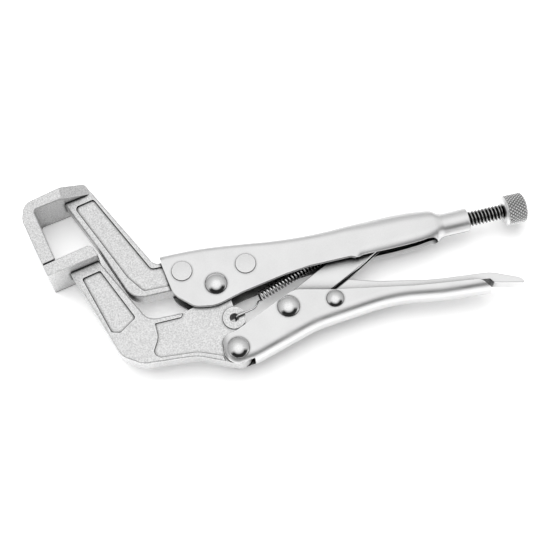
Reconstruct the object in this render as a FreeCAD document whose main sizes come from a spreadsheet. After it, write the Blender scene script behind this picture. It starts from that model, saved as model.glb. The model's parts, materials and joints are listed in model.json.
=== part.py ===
"""Locking C clamp, about 249 mm long, lying on its side.

Frame: the origin is the middle of the clamp's bounding box. X runs along the adjusting screw
towards its knob, Y runs across the handles towards the upper one, and Z is square to the plane in
which the jaws and handles swing. Every outline is drawn from the lower jaw's pivot, and each
part's placement moves it from there to the frame. All sizes are in millimetres.
"""
import FreeCAD, Part
import math
import os
import Sketcher

from FreeCAD import Placement, Rotation, Vector

SIZES = {
    # pressed handles
    "sheet": 2.4,
    "sheet_round": 0.5,
    "handle_width": 15.2,
    "handle_back_radius": 5.5,
    # forged jaws
    "arm_thickness": 10.2,
    "jaw_width": 25.0,
    "panel_depth": 0.9,
    "through_cut": 200.0,
    "recess_depth": 0.6,
    "arm_round": 0.9,
    "frame_round": 0.7,
    "plate_round": 0.5,
    "pivot_eye_radius": 8.5,
    "handle_eye_radius": 7.1,
    "spring_eye_radius": 5.6,
    "spring_hole_radius": 2.4,
    # rivets
    "shank_radius": 3.2,
    "lever_shank_radius": 2.5,
    "running_gap": 0.05,
    "dome_radius": 5.3,
    "dome_height": 2.7,
    "lever_dome_radius": 4.15,
    "lever_dome_height": 2.1,
    "flat_head_radius": 4.9,
    "flat_head_height": 0.7,
    "head_rim": 0.5,
    # toggle link
    "link_thickness": 7.2,
    "link_gap": 3.6,
    "link_width": 11.9,
    "link_tip_radius": 4.6,
    # release lever
    "lever_width": 8.0,
    "lever_sheet": 1.6,
    # adjusting screw, knob and the tube that guides it
    "screw_axis_height": 5.5,
    "screw_radius": 3.9,
    "screw_point_radius": 1.6,
    "spigot_radius": 2.5,
    "tube_radius": 6.1,
    "tube_bore_radius": 4.05,
    "knob_radius": 7.7,
    "knob_bore_depth": 7.0,
    # tension spring and the tab that holds it
    "tab_thickness": 1.6,
    "tab_hole_radius": 1.4,
    "wire_radius": 0.5,
    "coil_radius": 2.15,
    "coil_turns": 22.0,
}

# From the lower jaw's pivot to the middle of the clamp's bounding box, reversed.
TO_FRAME = Vector(-38.03, -13.12, 0)

# Pivot centres in the swing plane, from the lower jaw's pivot.
JAW_PIVOT = (0.0, 0.0)
HANDLE_PIVOT = (3.1, -34.7)
LINK_PIVOT = (31.8, -20.0)
LEVER_PIVOT = (55.0, -21.6)
LINK_TIP = (83.0, 5.3)
FRONT_RIVET = (-15.0, 10.3)
REAR_RIVET = (16.5, 6.7)
SPRING_HOLE = (4.8, -18.6)
TAB_HOLE = (60.9, 5.2)

# Stations along the adjusting screw's axis.
SCREW_POINT_START = 86.5
SCREW_THREAD_START = 93.0
TUBE_END = 131.5
KNOB_START = 150.8
KNOB_END = 162.4

doc = FreeCAD.newDocument("locking_c_clamp")
sheet = doc.addObject("Spreadsheet::Sheet", "sizes")
for row, (alias, value) in enumerate(SIZES.items(), start=1):
    sheet.set(f"A{row}", alias)
    sheet.set(f"B{row}", str(value))
    sheet.setAlias(f"B{row}", alias)
doc.recompute()

sub_parts = []


def size(alias):
    return float(sheet.get(alias))


# ---------------------------------------------------------------- building blocks

def rounded_outline(corners):
    """A closed outline of lines and tangent arcs from (x, y, corner radius) corners."""
    count = len(corners)
    starts, ends, mids = [], [], []
    for i, (x, y, radius) in enumerate(corners):
        here = Vector(x, y, 0)
        to_last = Vector(*corners[i - 1][:2], 0) - here
        to_next = Vector(*corners[(i + 1) % count][:2], 0) - here
        to_last.normalize()
        to_next.normalize()
        half_angle = to_last.getAngle(to_next) / 2
        setback = radius / math.tan(half_angle)
        bisector = to_last + to_next
        if radius > 0:
            bisector.normalize()
            centre_distance = radius / math.sin(half_angle)
            mids.append(here + bisector * (centre_distance - radius))
        else:
            mids.append(None)
        starts.append(here + to_last * setback)
        ends.append(here + to_next * setback)
    pieces = []
    for i in range(count):
        if mids[i] is not None:
            pieces.append(Part.Arc(starts[i], mids[i], ends[i]))
        following = starts[(i + 1) % count]
        if ends[i].distanceToPoint(following) > 1e-4:
            pieces.append(Part.LineSegment(ends[i], following))
    return pieces


def new_body(label, place=(0.0, 0.0, 0.0), rotation=Rotation()):
    """A body whose own zero stands at a place that is measured from the lower jaw's pivot."""
    body = doc.addObject("PartDesign::Body", label)
    body.Label = label
    body.Placement = Placement(TO_FRAME + Vector(*place), rotation)
    sub_parts.append(body)
    return body


def new_feature(label, shape):
    """A sub-part from a finished shape that is drawn from the lower jaw's pivot."""
    feature = doc.addObject("Part::Feature", label)
    feature.Label = label
    feature.Shape = shape
    feature.Placement = Placement(TO_FRAME, Rotation())
    sub_parts.append(feature)
    return feature


def new_sketch(body, name, role="XY_Plane"):
    sketch = body.newObject("Sketcher::SketchObject", name)
    plane = next(o for o in body.Origin.OriginFeatures if o.Role == role)
    sketch.AttachmentSupport = [(plane, "")]
    sketch.MapMode = "FlatFace"
    return sketch


def outline_sketch(body, name, corners, role="XY_Plane"):
    """A sketch of one closed outline whose pieces are blocked in place."""
    sketch = new_sketch(body, name, role)
    for piece in rounded_outline(corners):
        index = sketch.addGeometry(piece, False)
        sketch.addConstraint(Sketcher.Constraint("Block", index))
    return sketch


def circle_sketch(body, name, centre, radius_expression):
    """A sketch of one circle whose radius is bound to the sheet."""
    sketch = new_sketch(body, name)
    circle = Part.Circle(Vector(*centre, 0), Vector(0, 0, 1), 1.0)
    index = sketch.addGeometry(circle, False)
    sketch.addConstraint(Sketcher.Constraint("DistanceX", -1, 1, index, 3, centre[0]))
    sketch.addConstraint(Sketcher.Constraint("DistanceY", -1, 1, index, 3, centre[1]))
    radius = sketch.addConstraint(Sketcher.Constraint("Radius", index, 1.0))
    sketch.renameConstraint(radius, "circle_radius")
    sketch.setExpression("Constraints.circle_radius", radius_expression)
    return sketch


def pad(body, name, sketch, length_expression):
    """A pad that is symmetric about the sketch's plane."""
    feature = body.newObject("PartDesign::Pad", name)
    feature.Profile = sketch
    feature.SideType = "Symmetric"
    feature.setExpression("Length", length_expression)
    return feature


def must_remove(feature, cut_name):
    """Stops the build where a cut has taken nothing away."""
    doc.recompute()
    if feature.Shape.Volume >= feature.BaseFeature.Shape.Volume - 1e-3:
        raise RuntimeError(f"{cut_name} cuts nothing")
    return feature


def pocket(body, name, sketch, length_expression):
    """A pocket that is symmetric about the sketch's plane."""
    feature = body.newObject("PartDesign::Pocket", name)
    feature.Profile = sketch
    feature.SideType = "Symmetric"
    feature.setExpression("Length", length_expression)
    return must_remove(feature, name)


def face_recesses(body, name, corners, face_height, depth_alias):
    """The same recess sunk into the front and the rear face of a forging."""
    for side, sign in (("front", 1), ("rear", -1)):
        sketch = outline_sketch(body, f"{name}_{side}_outline", corners)
        sketch.setExpression(
            "AttachmentOffset.Base.z", f"{sign} * ({face_height} - sizes.{depth_alias})"
        )
        feature = body.newObject("PartDesign::Pocket", f"{name}_{side}")
        feature.Profile = sketch
        feature.Reversed = sign > 0
        feature.setExpression("Length", f"sizes.{depth_alias} + 1")
        must_remove(feature, f"{name}_{side}")


def fillet_edges(body, name, radius_expression, wanted):
    """Rounds every edge of the body that the wanted test picks."""
    doc.recompute()
    base = body.Tip
    names = [f"Edge{i}" for i, edge in enumerate(base.Shape.Edges, start=1) if wanted(edge)]
    feature = body.newObject("PartDesign::Fillet", name)
    feature.Base = (base, names)
    feature.setExpression("Radius", radius_expression)
    doc.recompute()
    return feature


def lies_at_height(edge, height):
    """True where the whole edge lies in one plane square to Z, on either side."""
    box = edge.BoundBox
    flat = box.ZLength < 1e-3
    return flat and abs(abs(box.ZMin) - height) < 1e-3


def round_faces(body, name, thickness_alias, radius_alias):
    """Rounds all edges around the two faces that bound the stated thickness."""
    height = size(thickness_alias) / 2
    fillet_edges(body, name, f"sizes.{radius_alias}", lambda edge: lies_at_height(edge, height))


# ---------------------------------------------------------------- rivets

def rivet(label, centre, shank_alias, head_alias, height_alias):
    """A rivet through both handle walls with the same head on each side."""
    body = new_body(label, (*centre, 0))
    sketch = new_sketch(body, f"{label}_profile", "XZ_Plane")
    grip = size("handle_width") / 2
    shank = size(shank_alias)
    head = size(head_alias)
    rim = grip + size("head_rim")
    top = grip + size(height_alias)
    flat = head / 8
    rise = top - rim
    # The dome's arc runs from the small flat at its top to the rim, about a centre on the axis.
    centre_height = (top ** 2 - rim ** 2 + flat ** 2 - head ** 2) / (2 * rise)
    dome = math.hypot(flat, top - centre_height)
    half_angle = (math.asin(flat / dome) + math.asin(head / dome)) / 2
    crown = Vector(dome * math.sin(half_angle), centre_height + dome * math.cos(half_angle), 0)
    upper = [
        Vector(shank, 0, 0), Vector(shank, grip, 0), Vector(head, grip, 0), Vector(head, rim, 0),
        Vector(flat, top, 0), Vector(0, top, 0),
    ]
    for sign in (1, -1):
        corners = [Vector(point.x, sign * point.y, 0) for point in upper]
        for first, second in zip(corners[:3], corners[1:4]):
            sketch.addGeometry(Part.LineSegment(first, second), False)
        through = Vector(crown.x, sign * crown.y, 0)
        sketch.addGeometry(Part.Arc(corners[3], through, corners[4]), False)
        sketch.addGeometry(Part.LineSegment(corners[4], corners[5]), False)
    sketch.addGeometry(Part.LineSegment(Vector(0, top, 0), Vector(0, -top, 0)), False)
    for index in range(sketch.GeometryCount):
        sketch.addConstraint(Sketcher.Constraint("Block", index))
    turned = body.newObject("PartDesign::Revolution", f"{label}_turned")
    turned.Profile = sketch
    turned.ReferenceAxis = (sketch, ["V_Axis"])
    turned.Angle = 360
    return body


def make_rivets():
    rivet("jaw_pivot_rivet", JAW_PIVOT, "shank_radius", "dome_radius", "dome_height")
    rivet("handle_pivot_rivet", HANDLE_PIVOT, "shank_radius", "dome_radius", "dome_height")
    rivet("link_rivet", LINK_PIVOT, "shank_radius", "dome_radius", "dome_height")
    rivet("lever_rivet", LEVER_PIVOT, "lever_shank_radius", "lever_dome_radius", "lever_dome_height")
    rivet("front_jaw_rivet", FRONT_RIVET, "shank_radius", "flat_head_radius", "flat_head_height")
    rivet("rear_jaw_rivet", REAR_RIVET, "shank_radius", "flat_head_radius", "flat_head_height")


def rivet_hole(body, name, centre, shank_alias):
    """A through hole with running clearance for a rivet's shank."""
    hole = circle_sketch(body, f"{name}_circle", centre, f"sizes.{shank_alias} + sizes.running_gap")
    pocket(body, name, hole, "sizes.jaw_width + 2")


# ---------------------------------------------------------------- upper jaw

# The bars of the C run at this slope, square to the left limb.
BAR_SLOPE = math.radians(12.3)

UPPER_ARM = [
    (-65.8, 63.4, 0), (-53.1, 33.6, 20), (-41.5, 2.6, 9), (-9.3, 2.4, 0), (-8.4, 8.4, 5.0),
    (0, 9.6, 6.0), (8.4, 8.4, 5.0), (9.3, 2.4, 0), (22.5, 2.4, 1.0), (22.5, 14.3, 1.0),
    (16.3, 15.4, 0), (0, 17.6, 0), (-27.5, 18.3, 4.0), (-51.2, 66.0, 0),
]
UPPER_PANEL = [
    (-60.5, 57.8, 2.2), (-41.9, 14.5, 6.0), (-35.5, 5.4, 3.0), (-22, 5.0, 0), (-22, 16.0, 0),
    (-29.4, 16.2, 2.5), (-50.0, 60.0, 1.4),
]
UPPER_FRAME = [
    (-86.6, 54.1, 9.0), (-80.95, 28.25, 0.8), (-74.35, 29.7, 0.8), (-80.0, 58.2, 1.6),
    (-50.4, 63.3, 0), (-52.6, 68.9, 2.5), (-66.4, 67.0, 0), (-84.2, 62.6, 7.0),
]


def frame_taper(sign):
    """Plan-view corners of the wedge that narrows the top bar's end to the arm's thickness."""
    wide = size("jaw_width") / 2
    narrow = size("arm_thickness") / 2
    start, end, beyond = -65.5, -51.5, -45.0
    return [
        (start, sign * (wide + 0.01), 0), (end, sign * narrow, 0), (beyond, sign * narrow, 0),
        (beyond, sign * (wide + 2), 0), (start, sign * (wide + 2), 0),
    ]


def make_upper_jaw():
    body = new_body("upper_jaw")
    pad(body, "arm", outline_sketch(body, "arm_outline", UPPER_ARM), "sizes.arm_thickness")
    round_faces(body, "arm_round", "arm_thickness", "arm_round")
    frame = outline_sketch(body, "frame_outline", UPPER_FRAME)
    pad(body, "frame", frame, "sizes.jaw_width")
    round_faces(body, "frame_round", "jaw_width", "frame_round")
    for name, sign in (("front", 1), ("rear", -1)):
        wedge = outline_sketch(body, f"taper_{name}_plan", frame_taper(sign), "XZ_Plane")
        cut = body.newObject("PartDesign::Pocket", f"taper_{name}")
        cut.Profile = wedge
        cut.SideType = "Symmetric"
        cut.setExpression("Length", "sizes.through_cut")
        must_remove(cut, f"taper_{name}")
    face_recesses(body, "panel", UPPER_PANEL, "sizes.arm_thickness / 2", "panel_depth")
    rivet_hole(body, "front_rivet_hole", FRONT_RIVET, "shank_radius")
    rivet_hole(body, "rear_rivet_hole", REAR_RIVET, "shank_radius")
    return body


# ---------------------------------------------------------------- lower jaw

LOWER_ARM = [
    (-69.6, 25.6, 0), (-62.1, 3.8, 30), (-53.0, -24.6, 9), (-43.7, -31.0, 9), (-16.9, -33.4, 20),
    (-5.0, -39.0, 8), (1.0, -41.6, 3), (9.9, -36.0, 3), (9.0, -19.0, 0), (5.6, -12.0, 1.0),
    (5.4, -8.0, 0), (0, 5.0, 0), (-8.0, 0, 0), (-9.5, -7.2, 4), (-18.8, -10.0, 4),
    (-36.4, -9.4, 7), (-54.9, 28.2, 0),
]
LOWER_PLATE = [
    (-80.75, 27.9, 0.6), (-79.4, 21.7, 0.6), (-53.2, 26.6, 0.8), (-55.6, 33.4, 3.5),
]
LOWER_PANEL = [
    (-63.9, 19.3, 1.0), (-54.2, 21.4, 1.0), (-42.0, -7.0, 1.6), (-51.0, -12.9, 1.5),
    (-55.2, -11.6, 1.5),
]
# The recess around the pivots leaves a rim at the front, along the bottom and half along the top.
PIVOT_RECESS = [
    (-33.7, -12.1, 0.6), (-33.6, -19.5, 8.0), (-37.9, -27.2, 3.0), (-34.5, -29.9, 1.5),
    (-16.5, -31.5, 12.0), (-5.0, -36.2, 1.0), (-3.0, -50.0, 0), (20.0, -50.0, 0), (20.0, 12.0, 0),
    (-14.0, 12.0, 0), (-18.6, -9.0, 0), (-20.4, -12.0, 0.8),
]


def make_lower_jaw():
    body = new_body("lower_jaw")
    pad(body, "arm", outline_sketch(body, "arm_outline", LOWER_ARM), "sizes.arm_thickness")
    round_faces(body, "arm_round", "arm_thickness", "arm_round")
    face_recesses(body, "recess", PIVOT_RECESS, "sizes.arm_thickness / 2", "recess_depth")
    for name, centre in (
        ("pivot_eye", JAW_PIVOT), ("handle_eye", HANDLE_PIVOT), ("spring_eye", SPRING_HOLE),
    ):
        disc = circle_sketch(body, f"{name}_circle", centre, f"sizes.{name}_radius")
        pad(body, name, disc, "sizes.arm_thickness")
    pad(body, "plate", outline_sketch(body, "plate_outline", LOWER_PLATE), "sizes.jaw_width")
    round_faces(body, "plate_round", "jaw_width", "plate_round")
    face_recesses(body, "panel", LOWER_PANEL, "sizes.arm_thickness / 2", "panel_depth")
    rivet_hole(body, "pivot_hole", JAW_PIVOT, "shank_radius")
    rivet_hole(body, "handle_hole", HANDLE_PIVOT, "shank_radius")
    spring_hole = circle_sketch(body, "spring_hole_circle", SPRING_HOLE, "sizes.spring_hole_radius")
    pocket(body, "spring_hole", spring_hole, "sizes.jaw_width + 2")
    return body


# ---------------------------------------------------------------- lower handle

HANDLE_BACK = [
    (-3.5, -43.6, 7.0), (12.0, -41.6, 30), (44.0, -32.2, 60), (84.0, -28.4, 90),
    (108.0, -32.4, 60), (132.2, -34.5, 0),
]
HANDLE_RIM = [
    (127.4, -29.0, 6.0), (95.0, -24.6, 60), (56.0, -17.0, 60), (36.5, -12.2, 10),
    (20.1, -19.2, 30), (3.6, -26.2, 8), (-4.4, -27.4, 6.5),
]
WEB_FRONT = 10.0


def make_lower_handle():
    """A pressed channel, open towards the link, whose front ends are two bare ears."""
    body = new_body("lower_handle")
    block = [(-4.6, -34.0, 7.0)] + HANDLE_BACK + [(132.2, -6.0, 0), (-4.6, -6.0, 0)]
    pad(body, "block", outline_sketch(body, "block_outline", block), "sizes.handle_width")

    def is_back_edge(edge):
        middle = edge.valueAt((edge.FirstParameter + edge.LastParameter) / 2)
        return lies_at_height(edge, size("handle_width") / 2) and below_back_line(middle)

    fillet_edges(body, "back_round", "sizes.handle_back_radius", is_back_edge)
    above = [(-4.6, -36.0, 0)] + HANDLE_RIM[::-1] + [(132.2, -34.0, 0), (140.0, -34.0, 0)]
    above += [(140.0, 0, 0), (-10.0, 0, 0), (-10.0, -36.0, 0)]
    pocket(body, "rim", outline_sketch(body, "rim_outline", above), "sizes.handle_width + 2")
    trough = outline_sketch(body, "trough_outline", lower_trough())
    pocket(body, "trough", trough, "sizes.handle_width - 2 * sizes.sheet")
    rivet_hole(body, "handle_hole", HANDLE_PIVOT, "shank_radius")
    rivet_hole(body, "link_hole", LINK_PIVOT, "shank_radius")
    rivet_hole(body, "lever_hole", LEVER_PIVOT, "lever_shank_radius")
    return body


def below_back_line(point):
    """True for points on the handle's back, the side that the palm holds."""
    for (x0, y0, _), (x1, y1, _) in zip(HANDLE_BACK, HANDLE_BACK[1:]):
        if x0 <= point.x <= x1:
            share = (point.x - x0) / (x1 - x0)
            return point.y < y0 + share * (y1 - y0) + 2.0
    return False


def lower_trough():
    """The channel's inside: the back's line moved in by the sheet, open towards the link."""
    wall = size("sheet")
    floor = [(x, y + wall, radius) for x, y, radius in HANDLE_BACK[2:5]]
    front = [(-12.0, -10.0, 0), (-12.0, -50.0, 0), (WEB_FRONT, -50.0, 0)]
    rise = [(WEB_FRONT, -41.0 + wall, 1.0)]
    tail = [(132.4, -34.3 + wall, 0), (136.0, -20.0, 0), (136.0, -10.0, 0)]
    return front + rise + floor + tail


# ---------------------------------------------------------------- toggle link

# How far before the tip's centre the link starts to narrow, and where its folded edge ends.
LINK_TAPER = 14.0
LINK_FOLD_END = 10.0


def make_link():
    """A folded strip: two cheeks joined along the edge that faces the spring."""
    run = Vector(*LINK_TIP, 0) - Vector(*LINK_PIVOT, 0)
    angle = math.degrees(math.atan2(run.y, run.x))
    body = new_body("toggle_link", (*LINK_PIVOT, 0), Rotation(Vector(0, 0, 1), angle))
    length = run.Length
    half = size("link_width") / 2
    tip = size("link_tip_radius")
    taper_start = length - LINK_TAPER
    outline = [
        (-half, half, half - 0.01), (-half, -half, half - 0.01), (taper_start, -half, 12),
        (length + tip, -tip, tip - 0.01), (length + tip, tip, tip - 0.01), (taper_start, half, 12),
    ]
    pad(body, "strip", outline_sketch(body, "strip_outline", outline), "sizes.link_thickness")
    round_faces(body, "strip_round", "link_thickness", "sheet_round")
    cheek = (size("link_thickness") - size("link_gap")) / 2
    back = half - cheek
    web_end = length - LINK_FOLD_END
    beyond = length + tip + 2
    inside = [
        (-half - 2, -half - 2, 0), (beyond, -half - 2, 0), (beyond, half + 2, 0),
        (web_end, half + 2, 0), (web_end, back, 0), (-half - 2, back, 0),
    ]
    pocket(body, "fold", outline_sketch(body, "fold_outline", inside), "sizes.link_gap")
    rivet_hole(body, "pivot_hole", (0, 0), "shank_radius")
    return body


# ---------------------------------------------------------------- release lever

LEVER_SIDE = [
    (46.5, -22.6, 1.5), (49.0, -27.0, 3.0), (66.0, -25.4, 20), (84.0, -24.4, 60), (108.0, -27.1, 60),
    (132.6, -28.9, 0.5), (134.2, -31.2, 0.8), (150.4, -35.2, 0.8), (147.6, -31.6, 6.0),
    (134.0, -25.4, 20), (104.0, -22.2, 60), (78.0, -16.6, 20), (64.4, -12.2, 1.5),
    (52.0, -18.4, 2.0),
]
LEVER_HOLLOW = [
    (66.0, -34.0, 0), (66.0, -19.0, 1.5), (80.0, -20.6, 20), (106.0, -25.2, 20), (120.0, -26.8, 1.0),
    (120.0, -38.0, 0),
]


def make_release_lever():
    body = new_body("release_lever")
    pad(body, "lever", outline_sketch(body, "lever_outline", LEVER_SIDE), "sizes.lever_width")
    round_faces(body, "lever_round", "lever_width", "sheet_round")
    inside = outline_sketch(body, "hollow_outline", LEVER_HOLLOW)
    pocket(body, "hollow", inside, "sizes.lever_width - 2 * sizes.lever_sheet")
    rivet_hole(body, "pivot_hole", LEVER_PIVOT, "lever_shank_radius")
    return body


# ---------------------------------------------------------------- adjusting screw and knob

def turned_body(label, start, outline):
    """A solid of revolution about the screw's axis; outline is (distance along, radius) corners."""
    axis_point = (start, size("screw_axis_height"), 0)
    body = new_body(label, axis_point, Rotation(Vector(0, 1, 0), 90))
    corners = [(radius, along - start, rounding) for along, radius, rounding in outline]
    sketch = outline_sketch(body, f"{label}_profile", corners, "XZ_Plane")
    turned = body.newObject("PartDesign::Revolution", f"{label}_turned")
    turned.Profile = sketch
    turned.ReferenceAxis = (sketch, ["V_Axis"])
    turned.Angle = 360
    return body


def make_adjusting_screw():
    point = size("screw_point_radius")
    thread = size("screw_radius")
    spigot = size("spigot_radius")
    end_gap = 0.2
    point_taper = 2.0
    spigot_end = KNOB_START + size("knob_bore_depth") - end_gap
    return turned_body("adjusting_screw", SCREW_POINT_START, [
        (SCREW_POINT_START, 0, 0), (SCREW_POINT_START, point, 0.5),
        (SCREW_THREAD_START - point_taper, point, 0), (SCREW_THREAD_START, thread, 0),
        (KNOB_START, thread, 0), (KNOB_START, spigot, 0), (spigot_end, spigot, 0),
        (spigot_end, 0, 0),
    ])


def make_knob():
    outer = size("knob_radius")
    bore = size("spigot_radius") + size("running_gap")
    bore_end = KNOB_START + size("knob_bore_depth")
    chamfer = 1.0
    dome = 2.2
    return turned_body("adjusting_knob", KNOB_START, [
        (KNOB_START, bore, 0), (KNOB_START, outer - chamfer, 0), (KNOB_START + chamfer, outer, 0),
        (KNOB_END - dome, outer, 1.2), (KNOB_END, outer - 3.2, 3.0), (KNOB_END, 0, 0),
        (bore_end, 0, 0), (bore_end, bore, 0),
    ])


# ---------------------------------------------------------------- upper handle

# Sections of the pressed shell: x, top, bottom, how far each side stands in from the handle's full
# width, top corner radius and bottom corner radius.
FRONT_SHELL = [
    (-26.0, 21.2, -14.0, 0, 3.0, 0.6),
    (-14.0, 21.1, -14.0, 0, 3.0, 0.6),
    (0.0, 20.3, -14.0, 0, 3.0, 0.6),
    (16.3, 18.4, -12.0, 0, 3.2, 0.6),
    (30.0, 16.6, -10.0, 0, 3.6, 0.6),
    (45.2, 15.3, -8.0, 0, 4.0, 0.6),
    (60.0, 15.1, -6.0, 0, 4.6, 0.6),
    (72.0, 15.7, -6.0, 0, 5.2, 0.6),
]
REAR_SHELL = [
    (72.0, 15.7, -1.9, 0, 5.2, 6.2),
    (80.0, 16.1, -2.4, 0, 5.8, 6.4),
    (90.0, 16.3, -2.6, 0, 6.2, 6.5),
    (100.0, 16.1, -2.3, 0.2, 6.2, 6.5),
    (108.0, 15.3, -1.9, 0.5, 6.0, 6.3),
    (114.0, 14.2, -1.4, 0.8, 6.0, 6.1),
]
HOLLOW_END = (112.4, 14.4, -1.5, 0.7, 6.0, 6.1)
HANDLE_SIDE = [
    (-24.0, 24.0, 0), (-24.1, 17.0, 12.0), (-21.5, -0.5, 10.0), (-12.5, -9.0, 8.0),
    (-2.5, -10.8, 16.0), (12.0, -7.0, 40), (34.8, -3.0, 30), (47.0, -1.7, 20), (72.5, -1.8, 0),
    (72.5, -8.0, 0),
    (140.0, -8.0, 0), (140.0, 24.0, 0),
]
SHOULDER_END = 118.6
# The slot underneath: its half width at the start and at the round end, and where it stops.
SLOT_START = 74.0
SLOT_END = 113.0
SLOT_WIDE, SLOT_NARROW = 5.6, 4.8
SLOT_TOP = 1.5


def prism(corners, depth):
    """An outline of rounded corners pulled both ways along Z."""
    edges = Part.__sortEdges__([piece.toShape() for piece in rounded_outline(corners)])
    solid = Part.Face(Part.Wire(edges)).extrude(Vector(0, 0, depth))
    solid.translate(Vector(0, 0, -depth / 2))
    if solid.Volume < 0:
        solid.reverse()
    return solid


def shell_section(station, inset):
    """One closed section across X: a box with rounded corners, moved in by the inset."""
    x, top, bottom, narrowing, top_radius, bottom_radius = station
    top, bottom = top - inset, bottom + inset
    half = size("handle_width") / 2 - narrowing - inset
    top_radius = max(top_radius - inset, 0.3)
    bottom_radius = max(bottom_radius - inset, 0.3)
    flat = [
        (-half, bottom, bottom_radius), (half, bottom, bottom_radius),
        (half, top, top_radius), (-half, top, top_radius),
    ]
    wire = Part.Wire([piece.toShape() for piece in rounded_outline(flat)])
    # The outline's own x runs along Z and its own y along Y.
    across = FreeCAD.Matrix(0, 0, 1, x, 0, 1, 0, 0, 1, 0, 0, 0)
    return wire.transformGeometry(across)


def shell_loft(stations, inset):
    return Part.makeLoft([shell_section(station, inset) for station in stations], True, True)


def tube_station(x, radius):
    axis = size("screw_axis_height")
    narrowing = size("handle_width") / 2 - radius
    nearly_round = radius - 0.05
    return (x, axis + radius, axis - radius, narrowing, nearly_round, nearly_round)


def slot_cutter():
    """The cutter for the slot underneath, which starts where the channel's walls curl in."""
    depth = 28.0
    inside = size("handle_width") / 2 - size("sheet")
    flare = SLOT_START - 1.0
    front = 60.0
    end_round = SLOT_NARROW - 0.2
    outline = [
        (front, -inside, 0), (flare, -inside, 0), (SLOT_START, -SLOT_WIDE, 0),
        (SLOT_END, -SLOT_NARROW, end_round), (SLOT_END, SLOT_NARROW, end_round),
        (SLOT_START, SLOT_WIDE, 0), (flare, inside, 0), (front, inside, 0),
    ]
    slot = prism(outline, depth)
    slot.Placement = Placement(Vector(0, SLOT_TOP - depth, 0), Rotation(Vector(1, 0, 0), -90))
    return slot


def make_upper_handle():
    """One pressed sheet: an open channel at the jaws that closes into the screw's tube."""
    wall = size("sheet")
    tube = size("tube_radius")
    axis = size("screw_axis_height")
    shoulder = tube_station(SHOULDER_END, tube)
    rear = REAR_SHELL + [shoulder]
    deep_front = [(x, top, bottom - 2 * wall, *rest) for x, top, bottom, *rest in FRONT_SHELL]
    outer = shell_loft(deep_front, 0).fuse(shell_loft(rear, 0))
    hollow_rear = REAR_SHELL[:-1] + [HOLLOW_END]
    inner = shell_loft(deep_front, wall).fuse(shell_loft(hollow_rear, wall))
    along_screw = Vector(1, 0, 0)
    barrel = Part.makeCylinder(
        tube, TUBE_END - SHOULDER_END, Vector(SHOULDER_END, axis, 0), along_screw
    )
    shell = outer.fuse(barrel).cut(inner)
    bore_start = 100.0
    bore = Part.makeCylinder(
        size("tube_bore_radius"), size("through_cut"), Vector(bore_start, axis, 0), along_screw
    )
    shell = shell.cut(bore).cut(slot_cutter())
    shell = shell.common(prism(HANDLE_SIDE, size("through_cut")))
    shell = shell.fuse(spring_tab())
    through = size("through_cut")
    for centre in (JAW_PIVOT, FRONT_RIVET, REAR_RIVET):
        radius = size("shank_radius") + size("running_gap")
        hole = Part.makeCylinder(radius, through, Vector(*centre, -through / 2))
        shell = shell.cut(hole)
    return new_feature("upper_handle", shell.removeSplitter())


def spring_tab():
    """The tab punched in from the channel's back that holds the spring's rear hook."""
    thickness = size("tab_thickness")
    width = 5.4
    height = 12.0
    edge = 2.3
    corner = Vector(TAB_HOLE[0] - width / 2, TAB_HOLE[1] - edge, -thickness / 2)
    tab = Part.makeBox(width, height, thickness, corner)
    hole = Part.makeCylinder(size("tab_hole_radius"), 2 * thickness, Vector(*TAB_HOLE, -thickness))
    return tab.cut(hole)


# ---------------------------------------------------------------- tension spring

COIL_START = Vector(19.6, -9.4, 0)
COIL_END = Vector(56.4, 3.2, 0)


def swept_wire(points):
    """A round wire swept along a smooth curve through the points."""
    curve = Part.BSplineCurve()
    curve.interpolate(points)
    path = Part.Wire(curve.toShape())
    tangent = curve.tangent(0)[0]
    ring = Part.Wire(Part.makeCircle(size("wire_radius"), points[0], tangent))
    return Part.Wire(path).makePipeShell([ring], True, True)


def make_spring():
    radius = size("coil_radius")
    turns = size("coil_turns")
    along = COIL_END - COIL_START
    length = along.Length
    along.normalize()
    across = Vector(0, 0, -1)
    sideways = across.cross(along)
    steps_per_turn = 12
    coil = []
    for i in range(int(turns * steps_per_turn) + 1):
        angle = 2 * math.pi * i / steps_per_turn
        centre = COIL_START + along * (length * i / (turns * steps_per_turn))
        out = sideways * math.cos(angle) + across * math.sin(angle)
        coil.append(centre + out * radius)
    # The front hook leaves the jaw's hole at an angle, lies over the jaw's face and turns into the
    # coil. The rear hook passes through the tab.
    jaw_hook = [
        Vector(5.5, -18.9, 1.0), Vector(5.6, -18.7, 4.2), Vector(6.6, -18.3, 5.9),
        Vector(8.6, -17.9, 6.2), Vector(11.5, -17.4, 6.2), Vector(15.2, -16.5, 6.0),
        Vector(17.2, -14.6, 5.2), Vector(18.4, -12.6, 2.8),
    ]
    tab_hook = [
        COIL_END + Vector(2.0, 0.9, -2.1), Vector(*TAB_HOLE, -2.0) + Vector(-0.7, -0.2, 0),
        Vector(*TAB_HOLE, -0.8), Vector(*TAB_HOLE, 0.4), Vector(*TAB_HOLE, 1.8),
    ]
    return new_feature("tension_spring", swept_wire(jaw_hook + coil + tab_hook))


# ---------------------------------------------------------------- build, check and write

def check_and_write():
    doc.recompute()
    for item in doc.Objects:
        bad = [state for state in item.State if state in ("Invalid", "Error")]
        if bad:
            raise RuntimeError(f"{item.Label}: {bad}")
    os.makedirs("parts", exist_ok=True)
    for item in sub_parts:
        shape = item.Shape
        if shape.isNull() or not shape.isValid() or not shape.Solids:
            raise RuntimeError(f"{item.Label}: bad shape")
        if len(shape.Solids) != 1:
            volumes = [round(solid.Volume, 2) for solid in shape.Solids]
            raise RuntimeError(f"{item.Label} is {len(volumes)} solids: {volumes}")
        shape.exportStep(f"parts/{item.Label}.step")
        print(item.Label, round(shape.Volume, 1), shape.BoundBox)


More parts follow.
